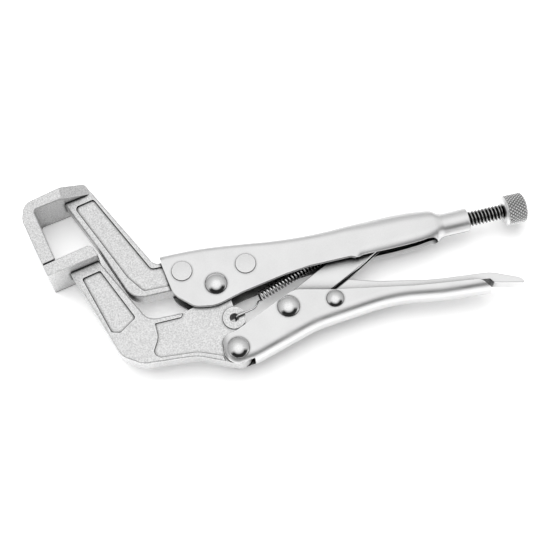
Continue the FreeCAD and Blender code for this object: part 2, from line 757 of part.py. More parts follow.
make_upper_handle()
make_upper_jaw()
make_lower_jaw()
make_lower_handle()
make_link()
make_release_lever()
make_adjusting_screw()
make_knob()
make_spring()
make_rivets()
check_and_write()
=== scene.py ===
"""Looks of the locking C clamp: plated forgings, pressed handles, screw, knob and spring."""
import json
import math

import bmesh
import bpy
from mathutils import Matrix, Vector


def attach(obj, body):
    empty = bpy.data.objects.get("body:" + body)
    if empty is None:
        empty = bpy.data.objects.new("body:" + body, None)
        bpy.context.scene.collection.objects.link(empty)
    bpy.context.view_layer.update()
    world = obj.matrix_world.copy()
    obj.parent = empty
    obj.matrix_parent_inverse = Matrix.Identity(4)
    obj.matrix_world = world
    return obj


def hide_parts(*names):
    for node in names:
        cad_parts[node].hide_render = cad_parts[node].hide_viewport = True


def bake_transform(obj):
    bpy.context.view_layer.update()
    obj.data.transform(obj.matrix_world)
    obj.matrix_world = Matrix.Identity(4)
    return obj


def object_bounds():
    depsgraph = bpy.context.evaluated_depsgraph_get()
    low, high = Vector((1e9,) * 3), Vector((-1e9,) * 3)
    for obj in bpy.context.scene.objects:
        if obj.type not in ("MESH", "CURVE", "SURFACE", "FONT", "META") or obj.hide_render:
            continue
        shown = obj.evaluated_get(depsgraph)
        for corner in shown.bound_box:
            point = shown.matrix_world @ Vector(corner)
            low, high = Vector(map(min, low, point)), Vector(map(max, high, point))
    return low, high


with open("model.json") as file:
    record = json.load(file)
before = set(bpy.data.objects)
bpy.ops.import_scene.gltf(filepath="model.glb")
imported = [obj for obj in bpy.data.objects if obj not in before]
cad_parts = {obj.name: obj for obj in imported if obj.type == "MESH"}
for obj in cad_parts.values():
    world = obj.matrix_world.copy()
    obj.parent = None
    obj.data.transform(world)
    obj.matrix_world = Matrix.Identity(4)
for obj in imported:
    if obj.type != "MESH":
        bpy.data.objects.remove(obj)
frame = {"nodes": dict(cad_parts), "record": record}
cad_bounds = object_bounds()

MM = 0.001
TURN = 2 * math.pi
scene = bpy.context.scene


# ---------------------------------------------------------------- places and meshes

def joint_place(name):
    joints = frame["record"]["behaviour"]["joints"]
    return Vector(next(joint["pos_m"] for joint in joints if joint["name"] == name))


JAW_PIVOT = joint_place("jaw_swing")


def at(x, y, z=0.0):
    """A place in the row frame from millimetres measured from the lower jaw's pivot."""
    return JAW_PIVOT + Vector((x, y, z)) * MM


def new_piece(name, points, faces, material, body, *nodes, groove_shades=None):
    """A smooth closed mesh that rides on a body and stands for some of its CAD nodes.

    The groove shades hold how deep each point lies in a groove, or on the inside of the coil,
    from
    0 to 1, for the material to darken as painted shade.
    """
    mesh = bpy.data.meshes.new(name)
    mesh.from_pydata([at(*point) for point in points], [], faces)
    outward = bmesh.new()
    outward.from_mesh(mesh)
    bmesh.ops.recalc_face_normals(outward, faces=outward.faces)
    outward.to_mesh(mesh)
    outward.free()
    mesh.shade_smooth()
    mesh.materials.append(material)
    if groove_shades:
        mesh.attributes.new("groove_shade", "FLOAT", "POINT").data.foreach_set("value", groove_shades)
    piece = bpy.data.objects.new(name, mesh)
    scene.collection.objects.link(piece)
    if body:
        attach(piece, body)
    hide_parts(*nodes)
    return piece


def grid_faces(rows, columns, wrap=False, first=0):
    """Quads over rows of points, joined from the last column to the first one if they wrap."""
    faces = []
    for row in range(rows - 1):
        for column in range(columns if wrap else columns - 1):
            here = first + row * columns + column
            beside = first + row * columns + (column + 1) % columns
            faces.append((here, beside, beside + columns, here + columns))
    return faces


def round_edges(piece, width, limit=40.0):
    """Rounds the edges that bend by more than the limit in degrees, by a width in mm."""
    bevel = piece.modifiers.new("edges", "BEVEL")
    bevel.width = width * MM
    bevel.segments = 2
    bevel.limit_method = "ANGLE"
    bevel.angle_limit = math.radians(limit)
    bevel.harden_normals = False


def clamped(value):
    return min(max(value, 0.0), 1.0)


def ease(x, start, end):
    """From 0 at the start to 1 at the end, level at both."""
    share = clamped((x - start) / (end - start))
    return share * share * (3 - 2 * share)


def smooth_between(table, x):
    """A row of values at x, on a smooth curve through the rows of a table that starts with x."""
    x = min(max(x, table[0][0]), table[-1][0])
    last = next(i for i in range(1, len(table)) if x <= table[i][0])
    first = last - 1
    width = table[last][0] - table[first][0]
    share = (x - table[first][0]) / width
    values = []
    for k in range(1, len(table[0])):
        slopes = []
        for i in (first, last):
            low, high = max(i - 1, 0), min(i + 1, len(table) - 1)
            rise = table[high][k] - table[low][k]
            slopes.append(width * rise / (table[high][0] - table[low][0]))
        start, end = table[first][k], table[last][k]
        square, cube = share ** 2, share ** 3
        values.append(
            start * (2 * cube - 3 * square + 1) + end * (3 * square - 2 * cube)
            + slopes[0] * (cube - 2 * square + share) + slopes[1] * (cube - square)
        )
    return values


def smooth_curve(corners, steps):
    """Points on a smooth curve through the corners, with this many steps between two of them."""
    table = [(i, *corner) for i, corner in enumerate(corners)]
    count = (len(corners) - 1) * steps
    return [Vector(smooth_between(table, i / steps)) for i in range(count + 1)]


# Points on a path that are closer than this share of its step are merged.
SHORTEST_STEP = 0.3


def rounded_path(corners, step):
    """Points along straight lines and tangent arcs through (x, y, corner radius) corners."""
    path = [Vector(corners[0][:2])]
    for before, corner, after in zip(corners, corners[1:], corners[2:]):
        here = Vector(corner[:2])
        back = (Vector(before[:2]) - here).normalized()
        ahead = (Vector(after[:2]) - here).normalized()
        half_angle = back.angle(ahead) / 2
        radius = corner[2]
        centre = here + (back + ahead).normalized() * radius / math.sin(half_angle)
        setback = radius / math.tan(half_angle)
        start = here + back * setback
        end = here + ahead * setback
        count = max(2, math.ceil(radius * (math.pi - 2 * half_angle) / step))
        for i in range(count + 1):
            chord = start.lerp(end, i / count) - centre
            path.append(centre + chord.normalized() * radius)
    path.append(Vector(corners[-1][:2]))
    spaced = [path[0]]
    for point in path[1:]:
        length = (point - spaced[-1]).length
        if length < step * SHORTEST_STEP:
            continue
        count = max(1, round(length / step))
        last = spaced[-1]
        spaced += [last.lerp(point, (i + 1) / count) for i in range(count)]
    return spaced


# ---------------------------------------------------------------- node helpers

def grey(value):
    return (value, value, value, 1.0)


class Shader:
    """A node tree, with short calls for the nodes that the finishes and the studio share."""

    def __init__(self, tree):
        self.tree = tree

    def node(self, kind, **settings):
        made = self.tree.nodes.new(kind)
        for key, value in settings.items():
            setattr(made, key, value)
        return made

    def join(self, output, target):
        self.tree.links.new(output, target)

    def feed(self, target, value):
        """Sets an input from a number, a tuple or another node's output."""
        if isinstance(value, bpy.types.NodeSocket):
            self.join(value, target)
        else:
            target.default_value = value

    def axis(self, place, name):
        """One axis of a place or a direction."""
        split = self.node("ShaderNodeSeparateXYZ")
        self.join(place, split.inputs["Vector"])
        return split.outputs[name]

    def ray(self, kind):
        """1 for the rays of a kind, such as those that a mirror sees, and 0 for the rest."""
        return self.node("ShaderNodeLightPath").outputs[kind]

    def span(self, value, low, high, to_low, to_high):
        """A value carried from one span to another, and held at the ends."""
        made = self.node("ShaderNodeMapRange")
        self.feed(made.inputs["Value"], value)
        keys = ("From Min", "From Max", "To Min", "To Max")
        for key, number in zip(keys, (low, high, to_low, to_high)):
            made.inputs[key].default_value = number
        return made.outputs["Result"]

    def maths(self, operation, first, second):
        made = self.node("ShaderNodeMath", operation=operation)
        self.feed(made.inputs[0], first)
        self.feed(made.inputs[1], second)
        return made.outputs["Value"]

    def mix(self, share, first, second):
        """A colour between two colours."""
        made = self.node("ShaderNodeMix", data_type="RGBA")
        colours = [socket for socket in made.inputs if socket.type == "RGBA"]
        self.feed(made.inputs["Factor"], share)
        self.feed(colours[0], first)
        self.feed(colours[1], second)
        return next(socket for socket in made.outputs if socket.type == "RGBA")

    def ramp(self, value, stops):
        """A grey tone from (place, tone) stops that run from 0 to 1."""
        made = self.node("ShaderNodeValToRGB")
        self.feed(made.inputs["Fac"], value)
        elements = made.color_ramp.elements
        for place, tone in stops:
            ends = {0.0: elements[0], 1.0: elements[-1]}
            element = ends[place] if place in ends else elements.new(place)
            element.color = grey(tone)
        return made.outputs["Color"]


class Finish(Shader):
    """A material with one surface, on the object's own coordinates."""

    def __init__(self, name):
        self.material = bpy.data.materials.new(name)
        self.material.use_nodes = True
        super().__init__(self.material.node_tree)
        self.tree.nodes.clear()
        self.surface = self.node("ShaderNodeBsdfPrincipled")
        output = self.node("ShaderNodeOutputMaterial")
        self.join(self.surface.outputs["BSDF"], output.inputs["Surface"])
        self.place = self.node("ShaderNodeTexCoord").outputs["Object"]

    def give(self, **values):
        """Sets the surface's inputs, whose names are written with _ for spaces."""
        for key, value in values.items():
            self.feed(self.surface.inputs[key.replace("_", " ")], value)

    def noise(self, scale, detail=2.0, roughness=0.5):
        made = self.node("ShaderNodeTexNoise")
        self.join(self.place, made.inputs["Vector"])
        made.inputs["Scale"].default_value = scale
        made.inputs["Detail"].default_value = detail
        made.inputs["Roughness"].default_value = roughness
        return made.outputs["Fac"]

    def bump(self, height, strength, distance):
        made = self.node("ShaderNodeBump")
        made.inputs["Strength"].default_value = strength
        made.inputs["Distance"].default_value = distance
        self.join(height, made.inputs["Height"])
        return made.outputs["Normal"]

    def edges(self, radius, sharp=0.88):
        """How far the surface bends within the radius: 0 on a flat, 1 where it's sharp."""
        bevel = self.node("ShaderNodeBevel", samples=6)
        bevel.inputs["Radius"].default_value = radius
        straight = self.node("ShaderNodeNewGeometry").outputs["Normal"]
        dot = self.node("ShaderNodeVectorMath", operation="DOT_PRODUCT")
        self.join(bevel.outputs["Normal"], dot.inputs[0])
        self.join(straight, dot.inputs[1])
        return self.span(dot.outputs["Value"], 1.0, sharp, 0.0, 1.0)

    def crevice(self, distance, open_share, shut_share):
        """0 where the surface is open within the distance, 1 where it's shut in: ambient
        occlusion for painted shade.
        """
        made = self.node("ShaderNodeAmbientOcclusion", samples=8)
        made.inputs["Distance"].default_value = distance
        return self.span(made.outputs["AO"], open_share, shut_share, 0.0, 1.0)


# ---------------------------------------------------------------- plated finishes

CLOUD = {"scale": 90.0, "detail": 4.0, "roughness": 0.6}
CLOUD_TONES = (0.93, 1.03)
CLOUD_SPAN = (0.3, 0.7)
CLOUD_ROUGHNESS = (0.85, 1.15)
GRAIN = {"detail": 3.0, "roughness": 0.7}
GRAIN_SPAN = (0.35, 0.65)
GRAIN_HEIGHT = 0.06 * MM
# Worn edges: how wide they are, the near-white tone of their painted highlight, and how much they
# are polished.
WORN_AND_LIT_REACH = 0.5 * MM
EDGE_HIGHLIGHT_TONE, WORN_POLISH = 0.99, 0.4
# The open and shut shares of the painted corner shade, and the tone that all painted shade
# darkens to.
CORNER_SHARES = (0.95, 0.66)
PAINTED_SHADE_TONE = 0.02


def plated(
    name, tone, rough, grain_scale, grain_depth, wear_and_highlight, painted_shade,
    mottle=0.14, reach=2.2, shade=(16.0, 0.55, 0.22),
):
    """Plated steel: a fine grain, cloudy patches, worn edges lightened as a painted highlight,
    and painted shade in the corners, hollows and grooves.

    Mottle is how much the grain darkens the tone, reach is how wide the painted corner shade is
    in mm, and shade is the distance in mm and the open and shut shares over which shut-in places
    go dark with painted shade.
    """
    shader = Finish(name)
    cloud = shader.noise(**CLOUD)
    speck = shader.noise(grain_scale, **GRAIN)
    worn_and_lit_edge = shader.edges(WORN_AND_LIT_REACH)
    base = shader.mix(cloud, *(grey(tone * share) for share in CLOUD_TONES))
    base = shader.mix(shader.span(speck, *GRAIN_SPAN, 0.0, 1.0), base, grey(tone * (1 - mottle)))
    # Worn edges lightened towards near white, wear and a painted highlight.
    base = shader.mix(shader.maths("MULTIPLY", worn_and_lit_edge, wear_and_highlight), base, grey(EDGE_HIGHLIGHT_TONE))
    # Painted shade: ambient occlusion in the corners and shut-in hollows, and the grooves, darken
    # the colour towards the painted shade tone.
    corner = shader.crevice(reach * MM, *CORNER_SHARES)
    hollow_shade = shader.crevice(shade[0] * MM, *shade[1:])
    groove_shade = shader.node("ShaderNodeAttribute", attribute_name="groove_shade").outputs["Fac"]
    painted_shade_mask = shader.maths("MAXIMUM", shader.maths("MAXIMUM", corner, hollow_shade), groove_shade)
    base = shader.mix(shader.maths("MULTIPLY", painted_shade_mask, painted_shade), base, grey(PAINTED_SHADE_TONE))
    patches = shader.span(cloud, *CLOUD_SPAN, *(rough * share for share in CLOUD_ROUGHNESS))
    polish = shader.maths("MULTIPLY", worn_and_lit_edge, rough * WORN_POLISH)
    shader.give(
        Base_Color=base, Metallic=1.0, Roughness=shader.maths("SUBTRACT", patches, polish),
        Normal=shader.bump(speck, grain_depth, GRAIN_HEIGHT),
    )
    return shader.material


FORGED = plated(
    "forged_plate", tone=0.93, rough=0.36, grain_scale=1500.0, grain_depth=1.0, wear_and_highlight=0.9,
    painted_shade=0.97, mottle=0.38, reach=1.7, shade=(9.0, 0.54, 0.24),
)
PRESSED = plated(
    "handle_plate", tone=0.92, rough=0.40, grain_scale=5200.0, grain_depth=0.06, wear_and_highlight=0.6,
    painted_shade=0.95, reach=1.4,
)
# The lever and the link are shaded copies of the handle's plating: stronger painted shade where
# they lie shut in under the handles.
SHADED = plated(
    "lever_plate_shaded", tone=0.92, rough=0.36, grain_scale=5200.0, grain_depth=0.06, wear_and_highlight=0.8,
    painted_shade=0.97, shade=(8.0, 0.84, 0.50),
)
SHUT_IN = plated(
    "link_plate_shaded", tone=0.92, rough=0.36, grain_scale=5200.0, grain_depth=0.06, wear_and_highlight=0.8,
    painted_shade=0.98, shade=(7.0, 0.90, 0.66),
)
FLAT_HEAD = plated(
    "flat_rivet_plate", tone=0.80, rough=0.22, grain_scale=2400.0, grain_depth=0.10, wear_and_highlight=0.8,
    painted_shade=0.95, reach=1.2,
)
POLISHED = plated(
    "rivet_plate", tone=0.90, rough=0.09, grain_scale=1800.0, grain_depth=0.04, wear_and_highlight=0.1,
    painted_shade=0.9,
)
TURNED = plated(
    "screw_steel", tone=0.60, rough=0.26, grain_scale=2600.0, grain_depth=0.10, wear_and_highlight=0.5,
    painted_shade=0.98, reach=1.5,
)
KNURLED = plated(
    "knob_steel", tone=0.98, rough=0.34, grain_scale=2600.0, grain_depth=0.10, wear_and_highlight=0.8,
    painted_shade=0.98, reach=0.7,
)
WIRE = plated(
    "spring_steel", tone=0.95, rough=0.20, grain_scale=2600.0, grain_depth=0.08, wear_and_highlight=0.1,
    painted_shade=0.97, reach=0.8,
)

FINISH = {
    "forged_plate": FORGED, "handle_plate": PRESSED, "rivet_plate": POLISHED,
    "screw_steel": TURNED, "spring_steel": WIRE,
}
OWN_FINISH = {
    "toggle_link": SHUT_IN, "release_lever": SHADED,
    "front_jaw_rivet": FLAT_HEAD, "rear_jaw_rivet": FLAT_HEAD,
}


def paint_cad_nodes():
    for part in frame["record"]["subparts"]:
        node = frame["nodes"][part["node"]]
        node.data.materials.clear()
        finish = OWN_FINISH.get(part["node"], FINISH[part["material_slot"]])
        node.data.materials.append(finish)


paint_cad_nodes()
round_edges(frame["nodes"]["lower_handle"], width=0.35, limit=50.0)


# ---------------------------------------------------------------- upper handle

# (x, top, bottom, half width, top corner radius, bottom corner radius, sheet) of the pressing.
HANDLE_STATIONS = [
    (-26.0, 21.2, -16.0, 7.6, 3.0, 0.6, 2.4), (-14.0, 21.1, -16.0, 7.6, 3.0, 0.6, 2.4),
    (0.0, 20.3, -16.0, 7.6, 3.0, 0.6, 2.4), (16.3, 18.4, -14.0, 7.6, 3.2, 0.6, 2.4),
    (30.0, 16.6, -11.0, 7.6, 3.6, 0.6, 2.4), (45.2, 15.3, -8.0, 7.6, 4.0, 0.6, 2.4),
    (60.0, 15.1, -6.0, 7.6, 4.6, 0.8, 2.4), (70.0, 15.6, -5.4, 7.6, 5.2, 2.4, 2.4),
    (74.0, 15.8, -5.0, 7.6, 5.8, 6.2, 2.4), (80.0, 16.1, -5.0, 7.6, 6.6, 6.8, 2.3),
    (90.0, 16.3, -5.0, 7.6, 7.1, 7.0, 2.2), (100.0, 16.1, -4.7, 7.4, 7.1, 7.0, 2.2),
    (108.0, 15.3, -4.0, 7.1, 6.8, 6.8, 2.2), (114.0, 14.2, -2.4, 6.8, 6.4, 6.5, 2.1),
    (116.4, 12.5, -1.1, 6.4, 6.1, 6.1, 2.05), (118.6, 11.6, -0.6, 6.1, 6.05, 6.05, 2.05),
    (131.5, 11.6, -0.6, 6.1, 6.05, 6.05, 2.05),
]
# (x, y, corner radius) along the side walls' edge, from the front down and back to the curl.
HANDLE_EDGE = [
    (-24.1, 17.9, 0), (-24.1, 17.0, 6.0), (-21.5, -0.5, 10.0), (-12.5, -9.0, 8.0),
    (-2.5, -10.8, 16.0), (12.0, -7.0, 40.0), (34.8, -3.0, 30.0), (47.0, -1.7, 20.0),
    (74.0, -1.8, 0),
]
TUBE_END = 131.5
CURL_START = 68.0
SLOT_START, SLOT_ROUND, SLOT_TIP = 74.0, 108.0, 114.0
SLOT_WIDE, SLOT_NARROW, SEAM = 7.2, 6.4, 0.08
# The spacing of the mesh's rows along the edge and behind it, and the stretch with finer rows.
EDGE_STEP, TUBE_STEP, FINE_STEP = 0.9, 1.1, 0.45
FINE_START, FINE_END = 107.0, 120.0
HALF_COLUMNS = 46


def slot_half(x):
    """Half the width of the slot underneath: it narrows, ends round and goes on as a seam."""
    if x <= SLOT_ROUND:
        share = clamped((x - SLOT_START) / (SLOT_ROUND - SLOT_START))
        return SLOT_WIDE + (SLOT_NARROW - SLOT_WIDE) * share
    reach = min((x - SLOT_ROUND) / (SLOT_TIP - SLOT_ROUND), 1.0)
    return max(SLOT_NARROW * math.sqrt(1 - reach ** 2), SEAM)


def section_lengths(station):
    """Lengths of half a section's top, top corner, side, bottom corner and bottom."""
    top, bottom, half, top_radius, bottom_radius, _ = station
    quarter = math.pi / 2
    return [
        half - top_radius, quarter * top_radius, top - top_radius - bottom - bottom_radius,
        quarter * bottom_radius, half - bottom_radius,
    ]


def section_place(station, distance):
    """(z, y) and the outward direction, at a distance along the section from its top."""
    top, bottom, half, top_radius, bottom_radius, _ = station
    flat, corner, side, lower_corner, _ = section_lengths(station)
    if distance <= flat:
        return Vector((distance, top)), Vector((0, 1))
    distance -= flat
    if distance <= corner:
        angle = distance / top_radius
        out = Vector((math.sin(angle), math.cos(angle)))
        return Vector((half - top_radius, top - top_radius)) + out * top_radius, out
    distance -= corner
    if distance <= side:
        return Vector((half, top - top_radius - distance)), Vector((1, 0))
    distance -= side
    if distance <= lower_corner:
        angle = math.pi / 2 + distance / bottom_radius
        out = Vector((math.sin(angle), math.cos(angle)))
        centre = Vector((half - bottom_radius, bottom + bottom_radius))
        return centre + out * bottom_radius, out
    distance -= lower_corner
    return Vector((half - bottom_radius - distance, bottom)), Vector((0, -1))


def handle_rows():
    """(x, section, length from the top to the sheet's edge) along the pressing."""
    places = [(point.x, point.y) for point in rounded_path(HANDLE_EDGE, EDGE_STEP)]
    x = places[-1][0]
    while x < TUBE_END:
        x = min(x + (FINE_STEP if FINE_START < x < FINE_END else TUBE_STEP), TUBE_END)
        places.append((x, None))
    rows = []
    for x, y in places:
        station = smooth_between(HANDLE_STATIONS, x)
        lengths = section_lengths(station)
        length = sum(lengths) - slot_half(x)
        if y is not None:
            top, top_radius = station[0], station[3]
            to_edge = sum(lengths[:2]) + top - top_radius - y
            share = ease(x, CURL_START, SLOT_START)
            length = to_edge * (1 - share) + length * share
        rows.append((x, station, length))
    return rows


def make_upper_handle():
    """The pressed sheet as an outer and an inner skin, joined around the sheet's edge."""
    rows = handle_rows()
    columns = 2 * HALF_COLUMNS + 1
    outer, inner = [], []
    for x, station, length in rows:
        sheet = station[-1]
        for column in range(columns):
            along = (column - HALF_COLUMNS) / HALF_COLUMNS
            side = 1 if along >= 0 else -1
            place, out = section_place(station, abs(along) * length)
            deep = place - out * sheet
            outer.append((x, place.y, side * place.x))
            inner.append((x, deep.y, side * deep.x))
    total = len(outer)
    faces = grid_faces(len(rows), columns) + grid_faces(len(rows), columns, first=total)
    rim = [row * columns for row in range(len(rows))]
    rim += [(len(rows) - 1) * columns + column for column in range(1, columns)]
    rim += [row * columns + columns - 1 for row in range(len(rows) - 2, -1, -1)]
    rim += [column for column in range(columns - 2, 0, -1)]
    for here, following in zip(rim, rim[1:] + rim[:1]):
        faces.append((here, following, following + total, here + total))
    points = outer + inner
    piece = new_piece("handle_shell", points, faces, PRESSED, "fixed_handle", "upper_handle")
    round_edges(piece, width=0.3)


TAB_HOLE, TAB_HOLE_RADIUS = (60.9, 5.2), 1.4
TAB_LOW, TAB_HIGH = (58.2, 2.9), (63.6, 13.5)
TAB_HALF_THICKNESS = 0.8
TAB_SIDES = 32
STRAIGHT = 1e-6


def tab_reach(direction):
    """How far the tab's rectangle reaches from the hole's centre in a direction."""
    reaches = []
    for step, low, high, centre in zip(direction, TAB_LOW, TAB_HIGH, TAB_HOLE):
        if abs(step) > STRAIGHT:
            reaches.append(((high if step > 0 else low) - centre) / step)
    return min(reaches)


def make_spring_tab():
    """The tab inside the handle, with the hole that takes the spring's rear hook."""
    rings = [(z, outline) for z in (-1, 1) for outline in (False, True)]
    points, faces = [], []
    for z, outline in rings:
        for i in range(TAB_SIDES):
            angle = TURN * i / TAB_SIDES
            dx, dy = math.cos(angle), math.sin(angle)
            reach = tab_reach((dx, dy)) if outline else TAB_HOLE_RADIUS
            place = (TAB_HOLE[0] + reach * dx, TAB_HOLE[1] + reach * dy)
            points.append((*place, z * TAB_HALF_THICKNESS))
    for i in range(TAB_SIDES):
        j = (i + 1) % TAB_SIDES
        for ring, other in ((0, 1), (2, 3), (0, 2), (1, 3)):
            first, second = ring * TAB_SIDES, other * TAB_SIDES
            faces.append((first + i, first + j, second + j, second + i))
    piece = new_piece("spring_tab", points, faces, PRESSED, "fixed_handle", "upper_handle")
    round_edges(piece, width=0.15)


# ---------------------------------------------------------------- screw and knob

SCREW_AXIS = 5.5


def turned_points(stations, sides, radius_at):
    """Rings of points about the screw's axis with a centre at each end, faces and painted groove
    shade.
    """
    points, groove_shades = [], []
    for x, radius in stations:
        for side in range(sides):
            angle = TURN * side / sides
            reach, groove_shade = radius_at(x, radius, angle)
            points.append((x, SCREW_AXIS + reach * math.cos(angle), reach * math.sin(angle)))
            groove_shades.append(groove_shade)
    faces = grid_faces(len(stations), sides, wrap=True)
    for end, first in ((0, 0), (-1, (len(stations) - 1) * sides)):
        centre = len(points)
        points.append((stations[end][0], SCREW_AXIS, 0.0))
        groove_shades.append(0.0)
        faces += [(first + i, first + (i + 1) % sides, centre) for i in range(sides)]
    return points, faces, groove_shades


THREAD_PITCH = 1.8
THREAD_CREST, THREAD_ROOT = 3.9, 2.8
THREAD_START, THREAD_END = 92.4, 150.2
THREAD_FADE_IN, THREAD_FADE_OUT = 2.0, 0.8
# The wave from root to crest is steepened and lowered by these, which flattens both.
FLANK_STEEP, FLANK_LOW = 1.5, 0.2
# How fast the painted shade in the groove fades towards the crest.
THREAD_DARK = 1.4
# (x, radius) in front of the thread and behind it.
SCREW_POINT = [(86.5, 1.1), (86.7, 1.4), (87.0, 1.6), (91.0, 1.6)]
SCREW_SHANK = [(150.6, THREAD_ROOT), (150.9, 2.5), (157.6, 2.5)]
SCREW_SIDES, RINGS_PER_PITCH = 48, 12


def thread_radius(x, radius, angle):
    """The thread's radius: a trapezoid wave that runs round the screw and fades at its ends,
    and the painted shade of its groove.
    """
    if radius < THREAD_ROOT:
        return radius, 0.0
    turn = x / THREAD_PITCH - angle / TURN
    wave = abs(2 * (turn % 1.0) - 1)
    flank = clamped(wave * FLANK_STEEP - FLANK_LOW)
    fade_in = clamped((x - THREAD_START) / THREAD_FADE_IN)
    fade = fade_in * clamped((THREAD_END - x) / THREAD_FADE_OUT)
    groove_shade = max(0.0, 1.0 - THREAD_DARK * flank)
    return THREAD_ROOT + (THREAD_CREST - THREAD_ROOT) * flank * fade, groove_shade


def make_screw():
    length = THREAD_END - THREAD_START
    steps = round(length / (THREAD_PITCH / RINGS_PER_PITCH))
    thread = [(THREAD_START + length * i / steps, THREAD_ROOT) for i in range(steps + 1)]
    stations = SCREW_POINT + thread + SCREW_SHANK
    points, faces, groove_shades = turned_points(stations, SCREW_SIDES, thread_radius)
    new_piece(
        "threaded_screw", points, faces, TURNED, "screw", "adjusting_screw", groove_shades=groove_shades
    )


KNOB_START, KNOB_SHOULDER, KNOB_END = 150.8, 160.4, 162.4
KNOB_RADIUS = 7.7
KNOB_BORE_END, KNOB_BORE_TIP, KNOB_BORE = 157.8, 2.0, 2.55
# (distance from the knob's front, radius) of the front face and its rounded corner.
KNOB_FRONT = [(0.0, KNOB_BORE), (0.0, 4.6), (0.0, 6.4), (0.2, 6.7), (0.9, 7.35)]
KNOB_SIDE_GAP, KNOB_SIDE_STEPS = 1.2, 52
DOME_STEPS, DOME_TIP, DOME_FULLNESS = 26, 0.6, 0.72
KNURL_COUNT = 26
KNURL_SLANT = 0.9
KNURL_DEPTH = 0.5
KNURL_GAP, KNURL_FADE = 1.0, 0.6
# The knurl is left out within the first radius of the axis, and fades within the second.
KNURL_INNER, KNURL_FULL = 2.6, 4.0
# How steep the pyramids are, and how fast the painted shade in a groove fades towards their tips.
KNURL_STEEP, KNURL_DARK = 1.5, 1.3
SIDES_PER_KNURL = 10


def knob_profile():
    """(x, radius) from the bore's end, round the outside, to the middle of the domed end."""
    profile = [(KNOB_BORE_END, KNOB_BORE_TIP), (KNOB_BORE_END, KNOB_BORE)]
    profile += [(KNOB_START + gap, radius) for gap, radius in KNOB_FRONT]
    start = KNOB_START + KNOB_SIDE_GAP
    length = KNOB_SHOULDER - start
    for i in range(KNOB_SIDE_STEPS + 1):
        profile.append((start + length * i / KNOB_SIDE_STEPS, KNOB_RADIUS))
    for i in range(1, DOME_STEPS):
        angle = math.pi / 2 * i / DOME_STEPS
        x = KNOB_SHOULDER + (KNOB_END - KNOB_SHOULDER) * math.sin(angle)
        reach = math.cos(angle) ** DOME_FULLNESS
        profile.append((x, DOME_TIP + (KNOB_RADIUS - DOME_TIP) * reach))
    return profile + [(KNOB_END, DOME_TIP)]


def knurl_radius(x, radius, angle):
    """Two crossing sets of grooves that leave small pyramids on the knob's outside, with painted
    shade in the grooves.
    """
    if x < KNOB_START + KNURL_GAP or radius < KNURL_INNER:
        return radius, 0.0
    around = KNURL_COUNT * angle / TURN
    spacing = TURN * KNOB_RADIUS / KNURL_COUNT
    along = KNURL_SLANT * (x - KNOB_START + KNOB_RADIUS - radius) / spacing
    ridges = [abs(2 * ((around + sign * along) % 1.0) - 1) for sign in (1, -1)]
    height = min(1.0, KNURL_STEEP * min(1 - ridge for ridge in ridges))
    fade = clamped((x - KNOB_START - KNURL_GAP) / KNURL_FADE) * clamped(radius / KNURL_FULL)
    groove_shade = max(0.0, 1.0 - KNURL_DARK * height) * fade
    return radius - KNURL_DEPTH * fade * (1 - height), groove_shade


def make_knob():
    sides = KNURL_COUNT * SIDES_PER_KNURL
    points, faces, groove_shades = turned_points(knob_profile(), sides, knurl_radius)
    new_piece("knurled_knob", points, faces, KNURLED, "knob", "adjusting_knob", groove_shades=groove_shades)


# ---------------------------------------------------------------- tension spring

COIL_START = Vector((19.6, -9.4, 0.0))
COIL_END = Vector((56.4, 3.2, 0.0))
COIL_AXIS = (COIL_END - COIL_START).normalized()
COIL_RADIUS, WIRE_RADIUS, COIL_TURNS = 2.15, 0.5, 22
FRONT_HOOK = [
    (5.5, -18.9, 1.0), (5.6, -18.7, 4.2), (6.6, -18.3, 5.9), (8.6, -17.9, 6.2),
    (11.5, -17.4, 6.2), (15.2, -16.5, 6.0), (17.2, -14.6, 5.2), (18.4, -12.6, 2.8),
]
REAR_HOOK = [(58.4, 4.1, -2.1), (60.2, 5.0, -2.0)] + [(*TAB_HOLE, z) for z in (-0.8, 0.4, 1.8)]
STEPS_PER_TURN, HOOK_STEPS, WIRE_SIDES = 20, 6, 10
# The wire has painted shade from this far outside the coil's radius, full over this depth.
COIL_DARK_START, COIL_DARK_DEPTH = 0.15, 0.35


def spring_path():
    down = Vector((0, 0, -1))
    sideways = down.cross(COIL_AXIS)
    total = COIL_TURNS * STEPS_PER_TURN
    coil = []
    for i in range(total + 1):
        angle = TURN * i / STEPS_PER_TURN
        middle = COIL_START.lerp(COIL_END, i / total)
        out = sideways * math.cos(angle) + down * math.sin(angle)
        coil.append(middle + out * COIL_RADIUS)
    front = smooth_curve(FRONT_HOOK + [coil[0]], HOOK_STEPS)
    rear = smooth_curve([coil[-1]] + REAR_HOOK, HOOK_STEPS)
    return front + coil[1:-1] + rear


def coil_inner_shade(point):
    """Painted shade: 1 on the wire's inner side, towards the coil's axis, and 0 on the outer side
    and hooks.
    """
    reach = (point - COIL_START).dot(COIL_AXIS)
    if not 0 < reach < (COIL_END - COIL_START).length:
        return 0.0
    off_axis = (point - COIL_START - COIL_AXIS * reach).length
    return clamped((COIL_RADIUS + COIL_DARK_START - off_axis) / COIL_DARK_DEPTH)


